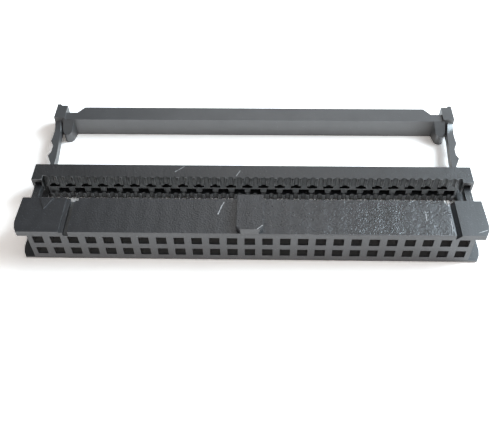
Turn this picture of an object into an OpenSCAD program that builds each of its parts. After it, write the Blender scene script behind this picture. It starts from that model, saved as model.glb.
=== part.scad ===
// Insulation-displacement socket for flat ribbon cable: a socket body with two rows of contacts,
// a cable cover held open on its two arms, and a strain relief that follows the cover on two legs.
// Millimetres. X runs along the rows, Y from the mating face to the cable side, Z up.
// The origin is the middle of the mating face, half way between the two rows.

/* [Contact grid] */
// Number of contacts in each row
columns = 25; // [10:1:28]
// Distance between neighbouring contacts of a row
pitch = 2.54; // [2.5:0.01:2.7]
// Distance between the two rows
row_gap = 2.54; // [2.5:0.01:2.7]
// Side of the square pin hole in the mating face
pin_hole = 1.5; // [1.3:0.05:1.6]

/* [Socket body] */
// Depth from the mating face to the cable side
body_d = 6.5; // [6.2:0.1:8]
// Thickness from underside to top face
body_t = 6.4; // [6.3:0.1:7]
// Height of the rows' centre line above the underside
row_high = 3.3; // [3.2:0.05:3.5]
// Wall between the last contact's centre and the body's end
end_wall = 1.47; // [1.45:0.01:2]
// How far the ears and ledges stand out from the body's end
ear_reach = 2; // [1.9:0.05:2.6]
// How far the cover and the strain relief stand past the ears
end_over = 0.15; // [0:0.05:0.3]
// Thickness of the ears
ear_t = 1; // [0.7:0.05:1.2]
// Thickness of the ledges under the ears
ledge_t = 0.55; // [0.4:0.05:0.7]
// Corner cut of the ears and ledges, along the rows
corner_x = 0.6; // [0.4:0.05:1.2]
// Corner cut of the ears and ledges, along the depth
corner_y = 1.9; // [1:0.1:2.4]
// How far the corner cut swells outward at its middle
corner_swell = 0.1; // [0.05:0.05:0.2]
// How much narrower the ears and ledges get towards the cable side
ear_taper = 0.15; // [0.05:0.05:0.3]
// Bevel along the lower front edge
front_bevel = 0.2; // [0.1:0.05:0.4]
// Depth of the contact pockets, from the cable side
pocket_d = 1.9; // [1.7:0.1:2.4]

/* [Top face] */
// Length of the wide ear, from the end of the part
wide_ear = 6.7; // [6:0.1:7.5]
// Length of the narrow ear, from the end of the part
narrow_ear = 4.1; // [3.5:0.1:5]
// Width of the groove beside the wide ear
wide_groove = 1.3; // [1:0.05:1.5]
// Width of the shelf along that groove
groove_shelf = 0.55; // [0.3:0.05:0.7]
// Depth of that shelf
shelf_d = 0.25; // [0.15:0.05:0.4]
// Width of the groove beside the narrow ear
narrow_groove = 0.75; // [0.4:0.01:1]
// Width of that groove's floor, beside its slanted side
narrow_floor = 0.1; // [0.05:0.01:0.2]
// Height of the upright edge above the slanted side
narrow_edge = 0.2; // [0.1:0.05:0.4]
// Depth of both grooves
groove_d = 0.9; // [0.5:0.05:1]
// Width of the pointed notch beside the narrow groove, at the cable side
point_notch_w = 0.9; // [0.5:0.05:1.2]
// Depth of the pointed notch
point_notch_d = 0.9; // [0.4:0.05:1.2]
// Distance from the narrow groove to the notch's point
point_notch_in = 0.36; // [0.1:0.02:0.46]
// Width of the square notch beside the wide groove, at the cable side
square_notch_w = 0.55; // [0.3:0.05:0.9]
// Depth of the square notch
square_notch_d = 0.55; // [0.3:0.05:0.9]
// Width of the polarising key
key_w = 3.8; // [3:0.1:4.5]
// Height of the polarising key
key_h = 1; // [0.6:0.05:1.4]
// Corner cut at the front of the key
key_corner = 0.65; // [0.3:0.05:1]
// Width of the first-contact mark
mark_w = 2.1; // [1.4:0.1:2.6]
// Length of the first-contact mark
mark_l = 2.2; // [1.4:0.1:2.8]
// Height of the first-contact mark
mark_h = 0.15; // [0.1:0.05:0.3]
// Distance from the end of the part to the middle of the mark
mark_in = 3.8; // [3:0.1:4.4]
// Distance from the cable side to the base of the mark
mark_back = 0.1; // [0:0.05:0.5]

/* [Cover] */
// Thickness of the cover, flush with the body's underside
cover_t = 5; // [4.8:0.1:5.4]
// Depth of the cover's ends
cover_d = 3.35; // [3.2:0.05:4]
// Open gap between the body and the cover's ends
cover_gap = 4.9; // [4.5:0.1:5.4]
// Depth of the cable bed between the ends
bed_d = 0.6; // [0.4:0.05:0.8]
// Room past the last wire at each end of the cable bed
bed_room = 0.2; // [0.1:0.02:0.3]
// Width of the recess past the outermost ridges
end_recess = 0.5; // [0.3:0.05:0.55]
// Radius of the wire grooves along the upper and lower edge of the cable bed
wire_r = 0.46; // [0.4:0.02:0.54]
// Depth of those grooves
wire_d = 0.3; // [0.2:0.02:0.34]
// Depth of the flat middle between those edges
middle_d = 0.36; // [0.34:0.02:0.5]
// Width of the slots that take the contact forks
slot_w = 1.6; // [1.4:0.05:1.7]
// Height of those slots
slot_h = 0.85; // [0.7:0.05:0.9]
// How far those slots sit below the forks
slot_drop = 0.15; // [0:0.05:0.15]
// Wall left behind those slots
slot_wall = 0.3; // [0.2:0.05:0.35]
// Width of the cover's arms
arm_w = 1.1; // [0.9:0.05:1.2]
// Thickness of the cover's arms
arm_t = 1.2; // [0.9:0.05:1.4]
// Distance from the cover's end to the arm's outer face
arm_in = 0.3; // [0.1:0.05:0.4]
// Length of the hook at the arm's tip
hook_l = 0.7; // [0.5:0.05:1]
// Height of the stop rib on the body that holds the hook
rib_h = 0.4; // [0.3:0.05:0.45]
// Length of that stop rib
rib_l = 0.6; // [0.4:0.05:0.8]
// Height of the pocket above each arm
pocket_h = 0.65; // [0.4:0.05:0.8]
// Depth of that pocket
pocket_l = 0.9; // [0.5:0.1:1.5]
// Distance from the arm's outer face to the pocket's side
pocket_in = 0.1; // [0:0.05:0.2]

/* [Strain relief] */
// Height of the bar, flush with the body's underside
bar_t = 3.45; // [3.3:0.05:3.8]
// Depth of the bar
bar_d = 3.1; // [2.6:0.1:3.6]
// Length of the end blocks along the bar
block_w = 1.8; // [1.4:0.1:2.2]
// How far the end blocks stand above the bar
block_over = 0.4; // [0.1:0.05:0.5]
// Height of the bump behind each end block
bump_d = 0.35; // [0.2:0.05:0.5]
// Width of the bump's crown
bump_w = 0.55; // [0.4:0.05:0.7]
// Run of the bump's sloped side
bump_slope = 0.25; // [0.1:0.05:0.4]
// Length of the open notch between each end block and the bar
gap_w = 2.95; // [2.6:0.05:3.4]
// Depth of that notch
gap_d = 1.4; // [1:0.1:1.8]
// Slope of the notch on the bar's side
gap_slope = 1.1; // [0.6:0.1:1.6]
// Width of the lugs beside the legs
lug_w = 1.6; // [1.2:0.1:1.8]
// Height of the lugs' round front
lug_h = 1.8; // [1.3:0.05:2.2]
// Reach of the lugs in front of the bar
lug_l = 2.1; // [1.6:0.05:2.2]
// How far the lugs overlap the end blocks
lug_over = 0.3; // [0.1:0.05:0.4]
// Spread of the lugs at the bar
lug_flank = 0.3; // [0.1:0.05:0.6]
// Thickness of the legs
leg_t = 1.4; // [1:0.05:1.5]
// Width of the legs
leg_w = 1.1; // [0.8:0.05:1.2]
// Reach of the legs in front of the bar
leg_l = 12.55; // [11:0.05:14]
// Depth of the legs' root in the end blocks
leg_root = 0.5; // [0.3:0.1:1]
// Height of the ramp on each leg's root
ramp_h = 0.8; // [0.5:0.05:0.9]
// Length of that ramp
ramp_l = 2.2; // [1.8:0.1:2.4]
// Outward tilt of that ramp in degrees
ramp_tilt = 17; // [8:1:20]
// How far the leg's neck stands in from the end of the part
neck_in = 0.2; // [0.1:0.05:0.3]
// Distance from the bar to the neck
neck_at = 2.6; // [2:0.1:3.4]
// How far the swell stands in from the end of the part
swell_in = 0.1; // [0:0.05:0.2]
// Distance from the bar to the swell
swell_at = 4.3; // [4:0.1:4.8]
// Distance from the bar to the start of the notch behind the barb
notch_at = 5.4; // [5:0.1:6]
// Length of the floor of that notch
notch_l = 1.5; // [1:0.1:1.6]
// Distance from the bar to the crown of the barb
barb_at = 7.8; // [7.7:0.1:8.6]
// Height of the barb
barb_h = 0.35; // [0.2:0.05:0.4]
// How far the barb's crown stands in from the end of the part
barb_in = 0.3; // [0.2:0.05:0.4]
// Distance from the bar to the tongue at the end of each leg
tongue_at = 9.6; // [9:0.1:10.5]
// Width of that tongue
tongue_w = 0.65; // [0.4:0.05:0.7]
// How far the tongue stands in from the end of the part
tongue_in = 1.1; // [1:0.05:1.15]
// How deep the tongues sit in the cover's end grooves
tongue_seat = 0.3; // [0.2:0.05:0.6]

/* [Contacts] */
// Thickness of the contact strip
strip_t = 0.3; // [0.2:0.02:0.34]
// Width of the gripping end
grip_w = 1.16; // [1:0.02:1.24]
// Gap between the two gripping beams
grip_gap = 0.54; // [0.4:0.02:0.6]
// Distance from the mating face to the beam tips
grip_in = 1.2; // [0.8:0.1:2]
// Width of each beam's tip
grip_tip = 0.16; // [0.1:0.01:0.22]
// Length of the slanted lead between the beam tips
grip_lead = 0.5; // [0.3:0.05:0.8]
// Solid length between the gap of the beams and the step
grip_root = 0.8; // [0.5:0.1:1.2]
// Distance from the pocket's floor to the contact's step
step_in = 0.4; // [0.2:0.05:0.8]
// Width of the cutting fork
fork_w = 1; // [0.9:0.02:1.04]
// Width of the wire slot in the fork
fork_slot = 0.28; // [0.2:0.02:0.34]
// Reach of the fork behind the body
fork_l = 3.05; // [2.6:0.05:3.1]
// Depth of the wire slot in the fork
fork_cut = 2.1; // [1.6:0.1:2.4]
// Length of the slanted sides of the fork's points
fork_point = 0.6; // [0.4:0.05:0.9]
// Distance from the fork's side to its points
point_in = 0.22; // [0.1:0.01:0.26]
// Length of the slanted lead into the wire slot
slot_lead = 0.35; // [0.2:0.05:0.5]
// Distance between the two rows of forks
fork_gap = 1.15; // [1.1:0.05:1.3]
// Height of the forks' centre line above the underside
fork_high = 2.42; // [2.3:0.02:2.5]

/* [Fits] */
// Room round a contact in its pocket
pocket_fit = 0.06; // [0.04:0.01:0.08]
// Room between a hook and the body
hook_fit = 0.12; // [0.08:0.01:0.2]
// Room round a leg in the cover's end groove
leg_fit = 0.15; // [0.1:0.01:0.2]

/* [Hidden] */
$fn = 32;
// How far joined shapes run into each other, and cuts past a face
eps = 0.05;
past = 1;

// Half lengths, counted from the middle of the rows
half = (columns - 1) * pitch / 2;
body_x = half + end_wall;
over_x = body_x + ear_reach;
far_x = over_x + end_over;
wire_pitch = pitch / 2;

// Heights
floor_z = -row_high;
top_z = floor_z + body_t;
cover_top = floor_z + cover_t;
bar_top = floor_z + bar_t;
fork_mid = floor_z + fork_high;

// Depths
cover_y = body_d + cover_gap;
cover_back = cover_y + cover_d;
bed_y = cover_y + bed_d;
slot_end = cover_back - slot_wall;
bar_y = cover_back - tongue_seat + leg_l;
bar_back = bar_y + bar_d;

// Legs run at half the bar's height, and the arms run just above them
leg_z = floor_z + bar_t / 2;
leg_top = leg_z + leg_t / 2;
groove_z = leg_z - leg_t / 2 - leg_fit;
arm_z = leg_top + leg_fit;
tongue_x = far_x - tongue_in - tongue_w;
leg_floor = tongue_x - leg_fit;
arm_out = far_x - arm_in;
rib_y = body_d - rib_l;
hook_y = rib_y - hook_fit - hook_l;
bed_x = columns * wire_pitch + bed_room;

// Front of the part seen from above: where the top face starts and ends
top_left = -over_x + wide_ear + wide_groove;
top_right = over_x - narrow_ear - narrow_groove;

function column_x(i) = -half + i * pitch;
function contact_name(row, i) = str("contact_", row == 0 ? "a" : "b", i < 9 ? "0" : "", i + 1);

ROWS = [0, 1];

plastic = [0.27, 0.275, 0.29];
relief_plastic = [0.36, 0.36, 0.37];
tinned = [0.72, 0.7, 0.66];

// A box between two opposite corners
module span(low, high) {
    translate(low)
        cube(high - low);
}

// A plan outline raised between two heights
module plate(low, high, outline) {
    translate([0, 0, low])
        linear_extrude(high - low)
            polygon(outline);
}

// A shape and its mirror image at the other end of the rows
module both_ends() {
    children();
    mirror([1, 0, 0])
        children();
}

// Upper forks stand half a wire pitch to the left of their contacts, lower forks to the right
function fork_x(row) = row == 0 ? -wire_pitch / 2 : wire_pitch / 2;
function fork_z(row) = fork_mid + (row == 0 ? fork_gap / 2 : -fork_gap / 2);
function row_z(row) = row == 0 ? row_gap / 2 : -row_gap / 2;

// Ear or ledge outline at one end, with its front corner cut
module end_plate(low, high) {
    plate(low, high, [
        [body_x - eps, 0],
        [over_x - corner_x, 0],
        [over_x - corner_x / 2 + corner_swell, corner_y / 2 - corner_swell],
        [over_x, corner_y],
        [over_x - ear_taper, body_d],
        [body_x - eps, body_d]
    ]);
}

// Stop rib on the body's end that keeps the cover's hook
module stop_rib() {
    span([body_x - eps, rib_y, arm_z], [body_x + rib_h, body_d, arm_z + arm_t]);
}

module key() {
    plate(top_z - eps, top_z + key_h, [
        [-key_w / 2, key_corner],
        [-key_w / 2 + key_corner, 0],
        [key_w / 2 - key_corner, 0],
        [key_w / 2, key_corner],
        [key_w / 2, body_d],
        [-key_w / 2, body_d]
    ]);
}

// Raised triangle beside the first contact
module first_mark() {
    mark_x = -over_x + mark_in;
    plate(top_z - eps, top_z + mark_h, [
        [mark_x - mark_w / 2, body_d - mark_back],
        [mark_x, body_d - mark_back - mark_l],
        [mark_x + mark_w / 2, body_d - mark_back]
    ]);
}

// Groove beside the wide ear, with a shelf along one side
module shelved_groove(low) {
    shelf_x = groove_shelf - wide_groove;
    translate([top_left, body_d + past, 0])
        rotate([90, 0, 0])
            linear_extrude(body_d + 2 * past)
                polygon([
                    [shelf_x, low],
                    [0, low],
                    [0, top_z + past],
                    [-wide_groove, top_z + past],
                    [-wide_groove, top_z - shelf_d],
                    [shelf_x, top_z - shelf_d]
                ]);
}

// Groove beside the narrow ear, whose outer side slants
module slanted_groove(low) {
    translate([top_right, body_d + past, 0])
        rotate([90, 0, 0])
            linear_extrude(body_d + 2 * past)
                polygon([
                    [0, low],
                    [narrow_floor, low],
                    [narrow_groove, top_z - narrow_edge],
                    [narrow_groove, top_z + past],
                    [0, top_z + past]
                ]);
}

module top_grooves() {
    low = top_z - groove_d;
    shelved_groove(low);
    slanted_groove(low);
    plate(low, top_z + past, [
        [top_right - point_notch_w, body_d + eps],
        [top_right - point_notch_in, body_d - point_notch_d],
        [top_right + eps, body_d + eps]
    ]);
    span(
        [top_left - eps, body_d - square_notch_d, low],
        [top_left + square_notch_w, body_d + past, top_z + past]
    );
}

// Hole for one pin, opening behind into the pocket that holds the contact
module contact_cavity(row, i) {
    x = column_x(i);
    z = row_z(row);
    side = pin_hole / 2;
    fork_side = fork_w / 2 + pocket_fit;
    strip = strip_t / 2 + pocket_fit;
    left = min(x - side, x + fork_x(row) - fork_side);
    right = max(x + side, x + fork_x(row) + fork_side);
    low = min(z - strip, fork_z(row) - strip);
    high = max(z + strip, fork_z(row) + strip);
    span([x - side, -past, z - side], [x + side, body_d - pocket_d + eps, z + side]);
    span([left, body_d - pocket_d, low], [right, body_d + past, high]);
}

module lower_front_bevel() {
    translate([0, 0, floor_z])
        rotate([45, 0, 0])
            cube([2 * over_x + past, front_bevel * sqrt(2), front_bevel * sqrt(2)], center = true);
}

module socket_body() {
    color(plastic)
    difference() {
        union() {
            span([-body_x, 0, floor_z], [body_x, body_d, top_z]);
            both_ends() {
                end_plate(top_z - ear_t, top_z);
                end_plate(floor_z, floor_z + ledge_t);
                stop_rib();
            }
            key();
            first_mark();
        }
        top_grooves();
        lower_front_bevel();
        for (row = ROWS)
            for (i = [0 : columns - 1])
                contact_cavity(row, i);
    }
}

// Strip contact: two gripping beams in front, a step to the fork's row, and the fork behind
module contact(row, i) {
    x = column_x(i);
    z = row_z(row);
    fx = x + fork_x(row);
    fz = fork_z(row);
    step_y = body_d - pocket_d + step_in;
    root_y = step_y - grip_root;
    tip_y = body_d + fork_l;
    color(tinned) {
        plate(z - strip_t / 2, z + strip_t / 2, [
            [x - grip_w / 2, grip_in],
            [x - grip_w / 2 + grip_tip, grip_in],
            [x - grip_gap / 2, grip_in + grip_lead],
            [x - grip_gap / 2, root_y],
            [x + grip_gap / 2, root_y],
            [x + grip_gap / 2, grip_in + grip_lead],
            [x + grip_w / 2 - grip_tip, grip_in],
            [x + grip_w / 2, grip_in],
            [x + grip_w / 2, step_y + strip_t],
            [x - grip_w / 2, step_y + strip_t]
        ]);
        span(
            [min(x - grip_w / 2, fx - fork_w / 2), step_y, min(z, fz) - strip_t / 2],
            [max(x + grip_w / 2, fx + fork_w / 2), step_y + strip_t, max(z, fz) + strip_t / 2]
        );
        plate(fz - strip_t / 2, fz + strip_t / 2, [
            [fx - fork_w / 2, step_y],
            [fx - fork_w / 2, tip_y - fork_point],
            [fx - fork_w / 2 + point_in, tip_y],
            [fx - fork_slot / 2, tip_y - slot_lead],
            [fx - fork_slot / 2, tip_y - fork_cut],
            [fx + fork_slot / 2, tip_y - fork_cut],
            [fx + fork_slot / 2, tip_y - slot_lead],
            [fx + fork_w / 2 - point_in, tip_y],
            [fx + fork_w / 2, tip_y - fork_point],
            [fx + fork_w / 2, step_y]
        ]);
    }
}

// Arm that runs along the body's end under the ear, with an inward hook at its tip
module cover_arm() {
    span([arm_out - arm_w, hook_y, arm_z], [arm_out, cover_y + eps, arm_z + arm_t]);
    span([body_x + hook_fit, hook_y, arm_z], [arm_out - arm_w + eps, hook_y + hook_l, arm_z + arm_t]);
}

// Open groove in the cover's end for a leg of the strain relief, and the pocket above the arm
module cover_end_cuts() {
    pocket_z = arm_z + arm_t;
    span([leg_floor, cover_y - past, groove_z], [far_x + past, cover_back + past, arm_z]);
    span(
        [arm_out - arm_w, cover_y - past, pocket_z],
        [arm_out - pocket_in, cover_y + pocket_l, pocket_z + pocket_h]
    );
}

module wire_groove(k) {
    translate([(k - columns + 0.5) * wire_pitch, bed_y + wire_d - wire_r, floor_z - past])
        cylinder(r = wire_r, h = cover_t + 2 * past);
}

// Recess as deep as the wire grooves, past the outermost ridge
module bed_end() {
    span(
        [bed_x - eps, cover_y - past, floor_z - past],
        [bed_x + end_recess, bed_y + wire_d, cover_top + past]
    );
}

function slot_z(row) = fork_z(row) - slot_drop;

// Flat middle of the cable bed, as high as both rows of slots
module bed_middle() {
    low = slot_z(1) - slot_h / 2;
    high = slot_z(0) + slot_h / 2;
    span([-bed_x, bed_y - eps, low], [bed_x, bed_y + middle_d, high]);
}

module fork_slot_cut(row, i) {
    x = column_x(i) + fork_x(row);
    z = slot_z(row);
    span([x - slot_w / 2, bed_y - eps, z - slot_h / 2], [x + slot_w / 2, slot_end, z + slot_h / 2]);
}

module cover() {
    color(plastic) {
        difference() {
            span([-far_x, cover_y, floor_z], [far_x, cover_back, cover_top]);
            span([-bed_x, cover_y - past, floor_z - past], [bed_x, bed_y, cover_top + past]);
            for (k = [0 : 2 * columns - 1])
                wire_groove(k);
            bed_middle();
            for (row = ROWS)
                for (i = [0 : columns - 1])
                    fork_slot_cut(row, i);
            both_ends() {
                bed_end();
                cover_end_cuts();
            }
        }
        both_ends()
            cover_arm();
    }
}

// Ramp that stiffens the root of a leg, between two points along the rows
module root_ramp(from_x, to_x) {
    translate([from_x, bar_y, leg_top])
        rotate([0, ramp_tilt, 0])
            rotate([90, 0, 90])
                linear_extrude(to_x - from_x)
                    polygon([[eps, -eps], [eps, ramp_h], [0, ramp_h], [-ramp_l, 0], [-ramp_l, -eps]]);
}

// Lug with a round front, whose top slopes down from the bar
module relief_lug(side_x) {
    nose = lug_w / 2;
    lug_y = bar_y - lug_l;
    high = bar_t - eps;
    difference() {
        translate([0, 0, floor_z])
            linear_extrude(high) {
                translate([side_x - nose, lug_y + nose])
                    circle(r = nose);
                polygon([
                    [side_x, bar_y + eps],
                    [side_x, lug_y + nose],
                    [side_x - lug_w, lug_y + nose],
                    [side_x - lug_w - lug_flank, bar_y + eps]
                ]);
            }
        translate([side_x - lug_w - lug_flank - past, bar_y, floor_z + high])
            rotate([atan2(high - lug_h, lug_l), 0, 0])
                translate([0, -2 * lug_l, 0])
                    cube([lug_w + lug_flank + 2 * past, 2 * lug_l, bar_t]);
    }
}

// Leg with a neck, a swell, a barb and a thin tongue that stays in the cover's end groove
module relief_leg() {
    notch_x = far_x - barb_in - barb_h;
    inner_x = far_x - neck_in - leg_w;
    root_ramp(inner_x + eps, far_x - neck_in);
    translate([0, bar_y, 0])
        plate(leg_z - leg_t / 2, leg_top, [
            [far_x, leg_root],
            [far_x - neck_in, -neck_at],
            [far_x - swell_in, -swell_at],
            [notch_x, -notch_at],
            [notch_x, -notch_at - notch_l],
            [far_x - barb_in, -barb_at],
            [tongue_x + tongue_w, -tongue_at],
            [tongue_x + tongue_w, -leg_l],
            [tongue_x, -leg_l],
            [tongue_x, -barb_at],
            [inner_x, -neck_at],
            [inner_x, leg_root]
        ]);
}

// Half of the bar with its end block, lug and leg
module relief_end() {
    block_x = far_x - block_w;
    bar_x = block_x - gap_w;
    plate(floor_z, bar_top, [
        [0, bar_y],
        [block_x + eps, bar_y],
        [block_x + eps, bar_back - gap_d],
        [bar_x + gap_slope, bar_back - gap_d],
        [bar_x, bar_back],
        [0, bar_back]
    ]);
    plate(floor_z, bar_top + block_over, [
        [block_x, bar_y],
        [far_x, bar_y],
        [far_x, bar_back + bump_d],
        [far_x - bump_w, bar_back + bump_d],
        [far_x - bump_w - bump_slope, bar_back],
        [block_x, bar_back]
    ]);
    relief_lug(block_x + lug_over);
    relief_leg();
}

module strain_relief() {
    color(relief_plastic)
    both_ends()
        relief_end();
}

socket_body();
cover();
strain_relief();
for (row = ROWS)
    for (i = [0 : columns - 1])
        contact(row, i);
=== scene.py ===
import math

import bmesh
import bpy
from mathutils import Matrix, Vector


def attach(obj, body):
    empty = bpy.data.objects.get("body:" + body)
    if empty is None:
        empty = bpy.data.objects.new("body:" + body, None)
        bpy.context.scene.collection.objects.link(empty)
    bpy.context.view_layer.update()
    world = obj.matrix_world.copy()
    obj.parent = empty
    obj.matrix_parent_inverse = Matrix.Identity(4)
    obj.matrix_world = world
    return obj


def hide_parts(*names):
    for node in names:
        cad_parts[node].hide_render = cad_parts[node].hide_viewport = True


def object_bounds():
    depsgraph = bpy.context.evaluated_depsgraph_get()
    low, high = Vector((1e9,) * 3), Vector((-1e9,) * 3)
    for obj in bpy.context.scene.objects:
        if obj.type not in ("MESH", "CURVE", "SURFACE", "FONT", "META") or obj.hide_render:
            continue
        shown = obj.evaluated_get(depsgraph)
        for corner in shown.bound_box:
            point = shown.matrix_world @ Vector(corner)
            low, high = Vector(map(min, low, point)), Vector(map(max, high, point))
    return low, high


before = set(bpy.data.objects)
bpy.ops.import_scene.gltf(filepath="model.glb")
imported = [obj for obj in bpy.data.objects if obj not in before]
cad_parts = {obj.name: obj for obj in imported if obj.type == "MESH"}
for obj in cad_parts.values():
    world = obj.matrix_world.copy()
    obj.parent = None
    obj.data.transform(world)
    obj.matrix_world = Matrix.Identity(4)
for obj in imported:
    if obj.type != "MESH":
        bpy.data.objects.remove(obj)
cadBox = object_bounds()
scene = bpy.context.scene
scene.view_settings.view_transform = "Standard"
mm = 0.001
print("frame loaded:", len(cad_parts), "nodes")


# camera: a plain lens at the photograph's angle
lens = {
    "place": (1.917, -57.898, 76.325),  # mm from the middle of the mating face
    "turn": (40.27, 0.563, 1.132),  # degrees about X, Y and Z
    "focal": 47.665,
    "sensor": 36.0,
}


def placeCamera(spec):
    data = bpy.data.cameras.new("camera")
    data.sensor_width = spec["sensor"]
    data.lens = spec["focal"]
    data.clip_start = mm
    camera = bpy.data.objects.new("camera", data)
    camera.location = [c * mm for c in spec["place"]]
    camera.rotation_euler = [math.radians(a) for a in spec["turn"]]
    scene.collection.objects.link(camera)
    scene.camera = camera


placeCamera(lens)
print("camera placed")


# shader helpers: an input is a plain value or the output of another node
colorMix = {"factor": 0, "first": 6, "second": 7, "mixed": 2}  # the Mix node's places for colours


def addNode(tree, kind, inputs=None, **settings):
    node = tree.nodes.new(kind)
    for name, value in settings.items():
        setattr(node, name, value)
    for name, value in (inputs or {}).items():
        if isinstance(value, bpy.types.NodeSocket):
            tree.links.new(value, node.inputs[name])
        else:
            node.inputs[name].default_value = value
    return node


def blank(name):
    material = bpy.data.materials.new(name)
    material.use_nodes = True
    material.node_tree.nodes.clear()
    return material, material.node_tree


def opaque(color):
    return (*color, 1)


def mixColor(tree, factor, first, second):
    inputs = {colorMix["factor"]: factor}
    for place, color in (("first", first), ("second", second)):
        inputs[colorMix[place]] = opaque(color) if isinstance(color, tuple) else color
    return addNode(tree, "ShaderNodeMix", inputs, data_type="RGBA").outputs[colorMix["mixed"]]


def mixShader(tree, factor, first, second):
    return addNode(tree, "ShaderNodeMixShader", {0: factor, 1: first, 2: second}).outputs[0]


def mathNode(tree, kind, first, second=0, clamp=False):
    return addNode(tree, "ShaderNodeMath", {0: first, 1: second}, operation=kind, use_clamp=clamp).outputs[0]


def product(tree, first, *others):
    for other in others:
        first = mathNode(tree, "MULTIPLY", first, other)
    return first


def vectorNode(tree, kind, inputs, output="Vector"):
    return addNode(tree, "ShaderNodeVectorMath", inputs, operation=kind).outputs[output]


def mapRange(tree, value, low, high, toLow=0.0, toHigh=1.0):
    limits = {"From Min": low, "From Max": high, "To Min": toLow, "To Max": toHigh}
    return addNode(tree, "ShaderNodeMapRange", {"Value": value, **limits}).outputs["Result"]


def objectPlace(tree):
    return addNode(tree, "ShaderNodeTexCoord").outputs["Object"]


def placeInMm(tree):
    return vectorNode(tree, "SCALE", {0: objectPlace(tree), "Scale": 1 / mm})


def axesInMm(tree):
    return addNode(tree, "ShaderNodeSeparateXYZ", {0: placeInMm(tree)}).outputs


def noise(tree, values):
    return addNode(tree, "ShaderNodeTexNoise", {"Vector": objectPlace(tree), **values}).outputs["Fac"]


def newGroup(name, inputs, outputs):
    group = bpy.data.node_groups.new(name, "ShaderNodeTree")
    for label, value in inputs.items():
        kind = "NodeSocketVector" if isinstance(value, tuple) else "NodeSocketFloat"
        socket = group.interface.new_socket(label, in_out="INPUT", socket_type=kind)
        socket.default_value = value
    for label in outputs:
        group.interface.new_socket(label, in_out="OUTPUT", socket_type="NodeSocketFloat")
    return group, group.nodes.new("NodeGroupInput").outputs


def giveOut(group, results):
    addNode(group, "NodeGroupOutput", results)
    return group


def useGroup(tree, group, values):
    return addNode(tree, "ShaderNodeGroup", values, node_tree=group).outputs


# moulded grain: fine bumps, a slow change of tone and patches of gloss, scales per metre
grainNoise = {
    "fine": {"Detail": 1.0, "Roughness": 0.5},
    "slow": {"Detail": 5.0, "Roughness": 0.55},
    "patch": {"Scale": 900.0, "Detail": 2.0},
    "spread": (0.3, 0.7),  # part of the noise that is drawn out to the full range
}


def makeGrain(spec):
    group, given = newGroup("mouldedGrain", {"Fine": 4400, "Slow": 260}, ("Height", "Tone", "Gloss"))
    fine = noise(group, {"Scale": given["Fine"], **spec["fine"]})
    slow = noise(group, {"Scale": given["Slow"], **spec["slow"]})
    patch = noise(group, spec["patch"])
    tone = mapRange(group, slow, *spec["spread"])
    gloss = mapRange(group, patch, *spec["spread"])
    return giveOut(group, {"Height": fine, "Tone": tone, "Gloss": gloss})


# light specks: small round dots, only in some cells, painted glints that stand in for the sparkle of the
# grain
def makeSpecks():
    group, given = newGroup("glintSpecks", {"Scale": 6500, "Share": 0.1, "Size": 0.25}, ("Mask",))
    cells = addNode(group, "ShaderNodeTexVoronoi", {"Vector": objectPlace(group), "Scale": given["Scale"]})
    chance = addNode(group, "ShaderNodeSeparateColor", {0: cells.outputs["Color"]}).outputs
    chosen = mathNode(group, "LESS_THAN", chance["Red"], given["Share"])
    dot = mathNode(group, "LESS_THAN", cells.outputs["Distance"], given["Size"])
    return giveOut(group, {"Mask": product(group, chosen, chance["Green"], dot)})


# worn edges with painted sheen: the rounded strips of a piece carry an attribute that marks them, and their
# lighter colour is partly wear and partly painted highlight
edgeNoise = {
    "broken": {"Detail": 3.0},
    "brokenEnds": (-0.08, 0.12),  # a soft end to each lighter stretch
    "chips": {"Scale": 700.0, "Detail": 2.0},
    "chipEnds": (0.0, 0.03),  # and a crisp one to each nick
}


def makeEdges(spec):
    group, given = newGroup("edgeWearAndSheen", {"Scale": 1400, "Cover": 0.5, "Nicks": 0.7}, ("Mask", "Nick"))
    strip = addNode(group, "ShaderNodeAttribute", attribute_name="roundedEdge").outputs["Fac"]
    broken = noise(group, {"Scale": given["Scale"], **spec["broken"]})
    chips = noise(group, spec["chips"])
    coveredStretch = mapRange(group, mathNode(group, "SUBTRACT", broken, given["Cover"]), *spec["brokenEnds"])
    chipped = mapRange(group, mathNode(group, "SUBTRACT", chips, given["Nicks"]), *spec["chipEnds"])
    return giveOut(group, {"Mask": product(group, coveredStretch, strip), "Nick": product(group, chipped, strip)})


# sink marks: a shallow wave over each contact column, with a painted sheen in clouds on the slopes that face
# the right end
sinkNoise = {
    "cloud": {"Scale": 420.0, "Detail": 4.0, "Roughness": 0.65},
    "shown": (0.4, 0.75),
    "bank": (-0.4, 1.0),  # slopes that face the right end, which get the painted sheen
}


def makeSinks(spec):
    group, given = newGroup("sinkMarks", {"Pitch": 2.54, "Shift": 0.08}, ("Height", "PaintedSheen"))
    columns = mathNode(group, "DIVIDE", axesInMm(group)["X"], given["Pitch"])
    angle = product(group, mathNode(group, "SUBTRACT", columns, given["Shift"]), 2 * math.pi)
    height = mapRange(group, mathNode(group, "COSINE", angle), -1, 1)
    bank = mapRange(group, mathNode(group, "SINE", angle), *spec["bank"])
    cloud = mapRange(group, noise(group, spec["cloud"]), *spec["shown"])
    return giveOut(group, {"Height": height, "PaintedSheen": product(group, cloud, bank)})


# painted hollows: a mask of what lies behind a face and between two ends and two heights, in mm, where
# painted light and shade go
def makePaintedHollows():
    group, given = newGroup("paintedHollows", {"End": 31.3, "High": 2.3, "Front": 0.1, "Back": 0.5}, ("Mask",))
    axis = axesInMm(group)
    wide = mathNode(group, "LESS_THAN", mathNode(group, "ABSOLUTE", axis["X"]), given["End"])
    high = mathNode(group, "LESS_THAN", mathNode(group, "ABSOLUTE", axis["Z"]), given["High"])
    deep = mapRange(group, axis["Y"], given["Front"], given["Back"])
    return giveOut(group, {"Mask": product(group, wide, high, deep)})


# one mark from a point to another, in mm, on faces above a height: a scratch, and on the notch rims a
# painted highlight
scratchAndGlintNoise = {
    "torn": {"Scale": 2600.0, "Detail": 2.0},
    "spread": (0.3, 0.7),
    "width": (0.25, 1.2),  # least and most, as shares of the given width
}


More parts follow.
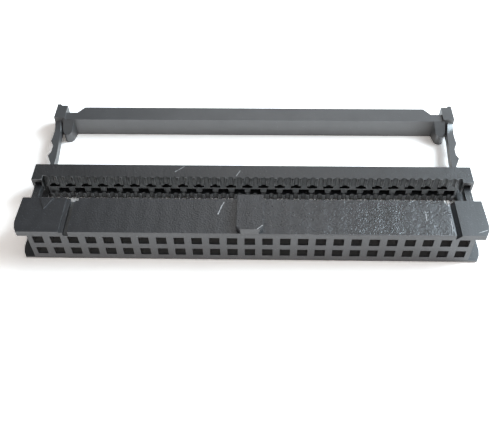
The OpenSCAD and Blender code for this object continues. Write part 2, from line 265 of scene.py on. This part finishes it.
def makeScratchAndGlint(spec):
    inputs = {"From": (0.0, 0.0, 0.0), "To": (1.0, 0.0, 0.0), "Width": 0.1, "Above": 0.0}
    group, given = newGroup("scratchAndGlint", inputs, ("Mask",))
    flat = vectorNode(group, "MULTIPLY", {0: placeInMm(group), 1: (1.0, 1.0, 0.0)})
    reach = vectorNode(group, "SUBTRACT", {0: flat, 1: given["From"]})
    line = vectorNode(group, "SUBTRACT", {0: given["To"], 1: given["From"]})
    along = vectorNode(group, "DOT_PRODUCT", {0: reach, 1: line}, "Value")
    whole = vectorNode(group, "DOT_PRODUCT", {0: line, 1: line}, "Value")
    share = mathNode(group, "DIVIDE", along, whole, clamp=True)
    nearest = vectorNode(group, "SCALE", {0: line, "Scale": share})
    away = vectorNode(group, "LENGTH", {0: vectorNode(group, "SUBTRACT", {0: reach, 1: nearest})}, "Value")
    torn = mapRange(group, noise(group, spec["torn"]), *spec["spread"], *spec["width"])
    ragged = mathNode(group, "DIVIDE", away, product(group, torn, given["Width"]))
    near = mathNode(group, "SUBTRACT", 1, ragged, clamp=True)
    high = mathNode(group, "GREATER_THAN", axesInMm(group)["Z"], given["Above"])
    return giveOut(group, {"Mask": product(group, near, high)})


grain = makeGrain(grainNoise)
specks = makeSpecks()
edgeWearAndSheen = makeEdges(edgeNoise)
sinkMarks = makeSinks(sinkNoise)
paintedHollows = makePaintedHollows()
scratchAndGlint = makeScratchAndGlint(scratchAndGlintNoise)
print("shader groups ready")


# plastics of the mouldings, places and depths in mm
bodyPlastic = {
    "name": "bodyPlastic",
    "dark": (0.017, 0.0175, 0.02),
    "light": (0.0237, 0.0243, 0.0276),
    "speck": (0.2, 0.21, 0.23),
    "edge": (0.11, 0.11, 0.11),
    "nick": (0.6, 0.6, 0.6),
    "grain": {"Fine": 4400, "Slow": 260},
    "specks": {"Scale": 6500, "Share": 0.12, "Size": 0.26},
    "edges": {"Scale": 1400, "Cover": 0.5, "Nicks": 0.73},
    "roughness": (0.37, 0.46),
    "bump": 1.0,
    "depth": 0.1,  # of the grain
    "coarse": {  # the sparkling part of the top
        "left": -25.6,
        "peak": 19.0,
        "right": 28.9,
        "above": 3.0,
        "soft": 0.1,  # width of its border
        "grow": (0.3, 1.0, 0.7),  # share of the grain at left, peak and right
        "least": 0.2,  # and everywhere else
        "glint": 0.56,  # roughness is this much of the plain one at the peak
    },
    "sinks": {"Pitch": 2.54, "Shift": 0.08},
    "sink": 0.02,  # depth of the sink marks
    "sinkSheen": (0.035, 0.036, 0.041),  # colour of the painted sheen on their slopes that face the right end
    "paintedHollows": {"End": 31.3, "High": 2.3, "Front": 0.1, "Back": 0.5},  # pin holes, painted lighter as light inside them
    "hollowLightAndShade": (0.075, 0.074, 0.072),
    "scratchAndGlint": (0.7, 0.7, 0.71),
    "scratchesAndGlints": [
        {"From": (-3.86, 5.84, 0), "To": (-4.19, 5.08, 0), "Width": 0.1, "Above": 3.0},
        {"From": (-4.19, 5.08, 0), "To": (-4.64, 3.58, 0), "Width": 0.12, "Above": 3.0},
        {"From": (1.1, 0.1, 0), "To": (1.8, 0.75, 0), "Width": 0.1, "Above": 3.95},
        {"From": (25.33, 4.38, 0), "To": (25.29, 2.62, 0), "Width": 0.09, "Above": 3.0},
        {"From": (28.75, 3.1, 0), "To": (28.63, 0.8, 0), "Width": 0.07, "Above": 3.0},
        {"From": (32.2, 0.5, 0), "To": (33.5, 1.0, 0), "Width": 0.08, "Above": 3.0},
        # painted highlights: the bright rims of the two notches at the rear corners of the top, drawn like
        # scratches
        {"From": (28.4, 6.4, 0), "To": (28.86, 5.52, 0), "Width": 0.2, "Above": 2.95},
        {"From": (-26.2, 5.78, 0), "To": (-25.75, 5.72, 0), "Width": 0.07, "Above": 2.95},
        {"From": (-26.32, 6.4, 0), "To": (-26.2, 5.8, 0), "Width": 0.06, "Above": 2.6},
    ],
}
coverPlastic = {
    "name": "coverPlastic",
    "dark": (0.019, 0.019, 0.0204),
    "light": (0.0266, 0.0266, 0.0285),
    "speck": (0.2, 0.2, 0.21),
    # edge colour raised as painted highlight on the cable bed's ridges, besides wear
    "edge": (0.32, 0.32, 0.32),
    "nick": (0.6, 0.6, 0.6),
    "grain": {"Fine": 4400, "Slow": 260},
    "specks": {"Scale": 6500, "Share": 0.08, "Size": 0.25},
    "edges": {"Scale": 1400, "Cover": 0.44, "Nicks": 0.68},
    "roughness": (0.3, 0.4),
    "bump": 1.0,
    "depth": 0.06,
    "paintedHollows": {"End": 33.0, "High": 1.6, "Front": 11.3, "Back": 11.5},  # cable bed, painted darker as shade
    "hollowLightAndShade": (0.01, 0.01, 0.0105),
    "scratchAndGlint": (0.45, 0.45, 0.46),
    "scratchesAndGlints": [
        {"From": (-11.87, 13.31, 0), "To": (-10.58, 14.39, 0), "Width": 0.14, "Above": 1.6},
        {"From": (-2.33, 12.5, 0), "To": (-1.76, 13.61, 0), "Width": 0.12, "Above": 1.6},
    ],
}
reliefPlastic = {
    "name": "reliefPlastic",
    "dark": (0.066, 0.066, 0.068),
    "light": (0.083, 0.083, 0.085),
    "speck": (0.2, 0.2, 0.21),
    "edge": (0.13, 0.13, 0.13),
    "nick": (0.4, 0.4, 0.4),
    "grain": {"Fine": 4400, "Slow": 260},
    "specks": {"Scale": 5000, "Share": 0.04, "Size": 0.22},
    "edges": {"Scale": 1200, "Cover": 0.52, "Nicks": 0.72},
    "roughness": (0.3, 0.38),
    "bump": 0.5,
    "depth": 0.02,
}
surfaceGloss = {"IOR": 1.6, "Specular IOR Level": 1.0}  # glass-filled plastic


# share of the grain: most on the coarse part of the top, least elsewhere
def coarsePart(tree, spec):
    axis = axesInMm(tree)
    left, peak, right, above, soft = (spec[key] for key in ("left", "peak", "right", "above", "soft"))
    atLeft, atPeak, atRight = spec["grow"]
    top = mapRange(tree, axis["Z"], above - soft, above)
    begun = mapRange(tree, axis["X"], left - soft, left)
    ended = mapRange(tree, axis["X"], right, right + soft, 1, 0)
    rising = mapRange(tree, axis["X"], left, peak, atLeft, atPeak)
    falling = mapRange(tree, axis["X"], peak, right, atPeak, atRight)
    grown = mathNode(tree, "MINIMUM", rising, falling)
    return mathNode(tree, "MAXIMUM", product(tree, begun, ended, top, grown), spec["least"])


def makePlastic(spec):
    material, tree = blank(spec["name"])
    texture = useGroup(tree, grain, spec["grain"])
    color = mixColor(tree, texture["Tone"], spec["dark"], spec["light"])
    height = product(tree, texture["Height"], spec["depth"])
    shine = mapRange(tree, texture["Gloss"], 0, 1, *spec["roughness"])
    if "coarse" in spec:
        share = coarsePart(tree, spec["coarse"])
        sinks = useGroup(tree, sinkMarks, spec["sinks"])
        # painted sheen: lighter colour in clouds on the sink slopes that face the light at the right end
        color = mixColor(tree, product(tree, sinks["PaintedSheen"], share), color, spec["sinkSheen"])
        wave = product(tree, sinks["Height"], spec["sink"], share)
        height = mathNode(tree, "ADD", product(tree, height, share), wave)
        glint = mapRange(tree, share, spec["coarse"]["least"], 1, 1, spec["coarse"]["glint"])
        shine = product(tree, shine, glint)
    # painted light and shade: lighter inside the pin holes, darker over the recessed cable bed
    if "paintedHollows" in spec:
        inside = useGroup(tree, paintedHollows, spec["paintedHollows"])
        color = mixColor(tree, inside["Mask"], color, spec["hollowLightAndShade"])
    # painted glints: light specks in some cells
    dots = useGroup(tree, specks, spec["specks"])
    color = mixColor(tree, dots["Mask"], color, spec["speck"])
    # lighter rounded edges: partly wear, partly painted highlight; the nicks are wear
    edges = useGroup(tree, edgeWearAndSheen, spec["edges"])
    color = mixColor(tree, edges["Mask"], color, spec["edge"])
    color = mixColor(tree, edges["Nick"], color, spec["nick"])
    for place in spec.get("scratchesAndGlints", []):
        color = mixColor(tree, useGroup(tree, scratchAndGlint, place)["Mask"], color, spec["scratchAndGlint"])
    bump = addNode(tree, "ShaderNodeBump", {"Strength": spec["bump"], "Distance": mm, "Height": height})
    finish = {"Base Color": color, "Roughness": shine, "Normal": bump.outputs["Normal"]}
    surface = addNode(tree, "ShaderNodeBsdfPrincipled", {**surfaceGloss, **finish})
    addNode(tree, "ShaderNodeOutputMaterial", {"Surface": surface.outputs[0]})
    return material


# tinned strip of the contacts, with streaks along it
contactTin = {
    "name": "contactTin",
    "bright": (0.8, 0.76, 0.72),
    "dull": (0.5, 0.47, 0.44),
    "stretch": (900, 160, 900),
    "streaks": {"Scale": 4.0, "Detail": 4.0},
    "spread": (0.35, 0.65),
    "roughness": (0.28, 0.5),
}


def makeTin(spec):
    material, tree = blank(spec["name"])
    stretched = addNode(tree, "ShaderNodeMapping", {"Vector": objectPlace(tree), "Scale": spec["stretch"]})
    drawn = {"Vector": stretched.outputs["Vector"], **spec["streaks"]}
    streaks = addNode(tree, "ShaderNodeTexNoise", drawn).outputs["Fac"]
    shown = mapRange(tree, streaks, *spec["spread"])
    color = mixColor(tree, shown, spec["dull"], spec["bright"])
    shine = mapRange(tree, shown, 0, 1, *spec["roughness"])
    finish = {"Base Color": color, "Metallic": 1.0, "Roughness": shine}
    surface = addNode(tree, "ShaderNodeBsdfPrincipled", finish)
    addNode(tree, "ShaderNodeOutputMaterial", {"Surface": surface.outputs[0]})
    return material


blackPlastic = makePlastic(bodyPlastic)
duskPlastic = makePlastic(coverPlastic)
greyPlastic = makePlastic(reliefPlastic)
tin = makeTin(contactTin)
print("materials ready")


# mouldings: a merged copy of each solid with its outer edges rounded, in mm
mouldings = {
    "socket_body": {"name": "socketShell", "body": "socket", "slot": "socket_plastic", "round": 0.07},
    "cover": {"name": "coverShell", "body": "cable_cover", "slot": "socket_plastic", "round": 0.06},
    "strain_relief": {"name": "reliefShell", "body": "relief", "slot": "relief_plastic", "round": 0.1},
}
rounding = {
    "merge": 0.001,
    "flat": math.radians(1),  # faces that differ by less become one
    "sharp": math.radians(40),  # outer edges that turn by more are rounded, inner ones stay sharp
    "short": 0.25,  # outer edges no longer than this stay sharp too
    "steps": 2,
}


def roundedCopy(node, spec, material):
    mesh = bpy.data.meshes.new(spec["name"])
    bm = bmesh.new()
    bm.from_mesh(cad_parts[node].data)
    bmesh.ops.scale(bm, vec=(1 / mm,) * 3, verts=bm.verts)  # millimetres while it is shaped
    bmesh.ops.remove_doubles(bm, verts=bm.verts, dist=rounding["merge"])
    bmesh.ops.dissolve_limit(bm, angle_limit=rounding["flat"], verts=bm.verts, edges=bm.edges)
    corners = [
        edge
        for edge in bm.edges
        if edge.is_manifold
        and edge.calc_face_angle_signed() > rounding["sharp"]
        and edge.calc_length() > rounding["short"]
    ]
    roundedFaces = bm.faces.layers.float.new("roundedEdge")
    rounded = bmesh.ops.bevel(
        bm, geom=corners, offset=spec["round"], offset_type="OFFSET", affect="EDGES",
        segments=rounding["steps"], profile=0.5, material=-1, clamp_overlap=True,
    )
    for face in rounded["faces"]:
        face[roundedFaces] = 1.0
    for edge in bm.edges:
        edge.smooth = edge.calc_face_angle(0.0) < rounding["sharp"]
    bmesh.ops.scale(bm, vec=(mm,) * 3, verts=bm.verts)
    bm.to_mesh(mesh)
    bm.free()
    mesh.materials.append(material)
    mesh.shade_smooth()
    piece = bpy.data.objects.new(spec["name"], mesh)
    scene.collection.objects.link(piece)
    piece.modifiers.new("evenNormals", "WEIGHTED_NORMAL").keep_sharp = True  # flat faces shade flat
    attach(piece, spec["body"])
    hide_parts(node)
    print(spec["name"], len(mesh.polygons), "faces")


roundedCopy("socket_body", mouldings["socket_body"], blackPlastic)
roundedCopy("cover", mouldings["cover"], duskPlastic)
roundedCopy("strain_relief", mouldings["strain_relief"], greyPlastic)

for name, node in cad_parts.items():
    if name.startswith("contact_"):
        node.data.materials.clear()
        node.data.materials.append(tin)
print("pieces dressed")


# pale floor and soft studio light
studio = {
    "floor": 2.0,  # metres across
    "paper": (0.94, 0.89, 0.87),  # warm, against the cool lamps
    "seen": (1.83, 1.74, 1.68),  # the floor's brightness in the picture
    "mirrored": (1.57, 1.49, 1.44),  # and in reflections
    "fade": (0.12, 0.3),  # metres from the middle over which the floor turns plain white
    "white": {"Color": (1, 1, 1, 1), "Strength": 1.0},
    "world": {"Color": (1, 1, 1, 1), "Strength": 0.121},
    "lamps": {  # places and sizes in mm
        "cornerLamp": {"place": (220, 100, 160), "size": 200, "power": 0.92, "tint": (0.75, 0.9, 1.0)},
        "sideLamp": {"place": (180, 20, 180), "size": 200, "power": 0.25, "tint": (0.84, 0.94, 1.0)},
        "frontLamp": {"place": (0, -300, 130), "size": 320, "power": 0.67, "tint": (1.0, 0.985, 0.97)},
        "backLamp": {"place": (30, 200, 220), "size": 220, "power": 0.098, "tint": (1.0, 1.0, 1.0)},
    },
    "aim": (0, 8, 0),
}


# paper that lights the object plainly, and looks brighter in the picture and in reflections
def makePaper(spec):
    material, tree = blank("paper")
    ray = addNode(tree, "ShaderNodeLightPath").outputs
    lit, mirrored, seen = (
        addNode(tree, "ShaderNodeBsdfDiffuse", {"Color": opaque(spec[part])}).outputs[0]
        for part in ("paper", "mirrored", "seen")
    )
    near = mixShader(tree, ray["Is Camera Ray"], mixShader(tree, ray["Is Glossy Ray"], lit, mirrored), seen)
    reach = vectorNode(tree, "LENGTH", {0: objectPlace(tree)}, "Value")
    faded = product(tree, mapRange(tree, reach, *spec["fade"]), ray["Is Camera Ray"])
    white = addNode(tree, "ShaderNodeEmission", spec["white"]).outputs[0]
    addNode(tree, "ShaderNodeOutputMaterial", {"Surface": mixShader(tree, faded, near, white)})
    return material


def layFloor(spec):
    bm = bmesh.new()
    bmesh.ops.create_grid(bm, x_segments=1, y_segments=1, size=spec["floor"] / 2)
    bmesh.ops.translate(bm, vec=(0, 0, cadBox[0][2]), verts=bm.verts)
    mesh = bpy.data.meshes.new("floor")
    bm.to_mesh(mesh)
    bm.free()
    mesh.materials.append(makePaper(spec))
    floor = bpy.data.objects.new("floor", mesh)
    scene.collection.objects.link(floor)


def hangLamp(name, spec, aim):
    data = bpy.data.lights.new(name, "AREA")
    data.shape = "DISK"
    data.size = spec["size"] * mm
    data.energy = spec["power"]
    data.color = spec["tint"]
    lamp = bpy.data.objects.new(name, data)
    lamp.location = [c * mm for c in spec["place"]]
    right, back, up = (a - p for a, p in zip(aim, spec["place"]))
    lamp.rotation_euler = (math.atan2(math.hypot(right, back), -up), 0, math.atan2(-right, back))
    scene.collection.objects.link(lamp)


def lightWorld(spec):
    world = bpy.data.worlds.new("studio")
    world.use_nodes = True
    tree = world.node_tree
    tree.nodes.clear()
    soft = addNode(tree, "ShaderNodeBackground", spec["world"]).outputs[0]
    white = addNode(tree, "ShaderNodeBackground", spec["white"]).outputs[0]
    seen = addNode(tree, "ShaderNodeLightPath").outputs["Is Camera Ray"]
    addNode(tree, "ShaderNodeOutputWorld", {"Surface": mixShader(tree, seen, soft, white)})
    scene.world = world


layFloor(studio)
for name, lamp in studio["lamps"].items():
    hangLamp(name, lamp, studio["aim"])
lightWorld(studio)
print("studio lit")
